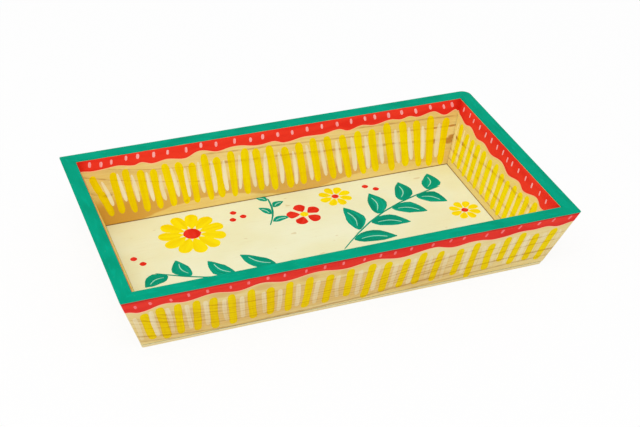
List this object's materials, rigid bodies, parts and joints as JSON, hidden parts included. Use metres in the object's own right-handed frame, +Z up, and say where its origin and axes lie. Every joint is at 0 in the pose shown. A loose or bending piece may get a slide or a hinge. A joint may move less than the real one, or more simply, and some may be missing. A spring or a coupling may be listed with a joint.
{
  "type": "tray",
  "caption": "Rectangular open wooden tray with splayed, butt-jointed board walls on a thin plywood bottom, glued and pinned, with a painted rim.",
  "frame": {"origin": "centre of the underside, on the surface that the tray stands on", "axes": "+X along the long walls to the right seen from the front, +Y to the back, +Z up"},
  "size_m": [0.3396, 0.1896, 0.054],
  "materials": {
    "pine": "bare planed softwood, thinly sealed, satin",
    "plywood": "pale sanded plywood, thinly sealed, satin",
    "brad_steel": "bright drawn steel",
    "green_paint": "brushed water-based paint on the rim, satin",
    "red_paint": "paint-marker band under the rim, satin",
    "yellow_paint": "paint-marker strokes, slightly see-through, satin",
    "white_paint": "thin paint-marker strokes, see-through, satin"
  },
  "bodies": {
    "root": {"front_wall": "pine", "back_wall": "pine", "left_wall": "pine", "right_wall": "pine", "bottom_panel": "plywood", "front_left_brad_1": "brad_steel", "front_left_brad_2": "brad_steel", "front_right_brad_1": "brad_steel", "front_right_brad_2": "brad_steel", "back_left_brad_1": "brad_steel", "back_left_brad_2": "brad_steel", "back_right_brad_1": "brad_steel", "back_right_brad_2": "brad_steel", "front_panel_brad_1": "brad_steel", "front_panel_brad_2": "brad_steel", "front_panel_brad_3": "brad_steel", "front_panel_brad_4": "brad_steel", "front_panel_brad_5": "brad_steel", "back_panel_brad_1": "brad_steel", "back_panel_brad_2": "brad_steel", "back_panel_brad_3": "brad_steel", "back_panel_brad_4": "brad_steel", "back_panel_brad_5": "brad_steel", "left_panel_brad_1": "brad_steel", "left_panel_brad_2": "brad_steel", "left_panel_brad_3": "brad_steel", "right_panel_brad_1": "brad_steel", "right_panel_brad_2": "brad_steel", "right_panel_brad_3": "brad_steel"}
  },
  "joints": []
}
